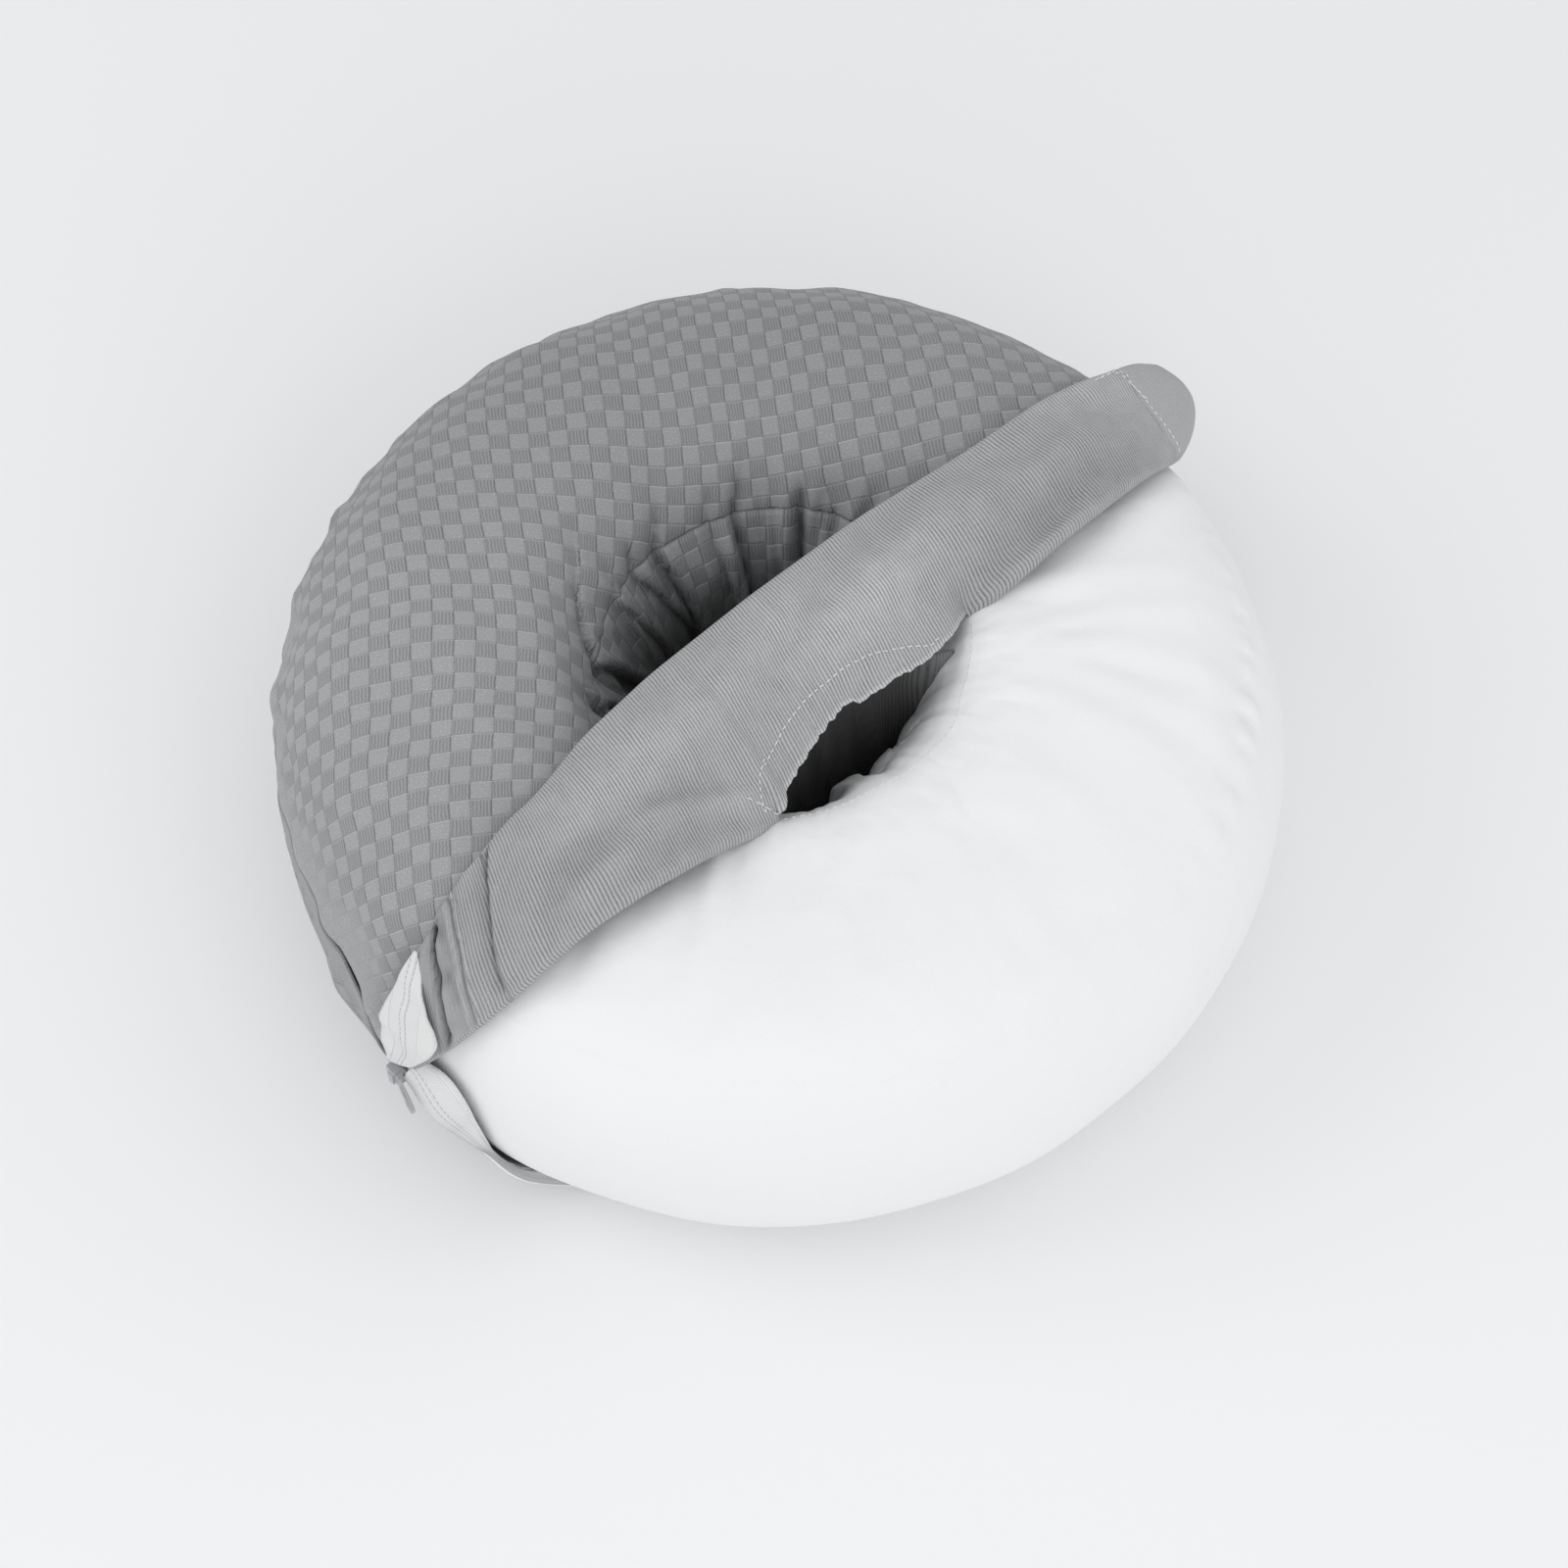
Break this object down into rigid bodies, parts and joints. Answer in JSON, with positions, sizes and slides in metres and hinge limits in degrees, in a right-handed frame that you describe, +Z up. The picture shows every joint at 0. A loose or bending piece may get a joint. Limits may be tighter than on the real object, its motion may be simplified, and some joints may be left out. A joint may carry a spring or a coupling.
{
  "type": "donut ear pillow",
  "caption": "Round filled pillow with an ear hole through its middle, in a zip-off check cover folded half back along a diagonal to bare the white inner ring.",
  "frame": {"origin": "under the middle of the ear hole, on the surface that the pillow lies on", "axes": "+Z up through the ear hole, +X towards the end of the fold that has no zip slider, -Y towards the bare half of the ring"},
  "size_m": [0.3205, 0.3198, 0.1399],
  "materials": {
    "white_cotton": "matt white cotton",
    "grey_check_cloth": "grey check weave with a ribbed reverse",
    "white_tape": "woven white tape",
    "grey_painted_metal": "grey paint, satin"
  },
  "bodies": {
    "root": {"inner_pillow": "white_cotton", "cover_top_panel": "grey_check_cloth", "cover_hole_wall": "grey_check_cloth", "cover_bottom_panel": "grey_check_cloth", "zip_tape_upper": "white_tape", "zip_tape_lower": "white_tape", "zip_slider": "grey_painted_metal", "zip_pull": "grey_painted_metal"}
  },
  "joints": []
}
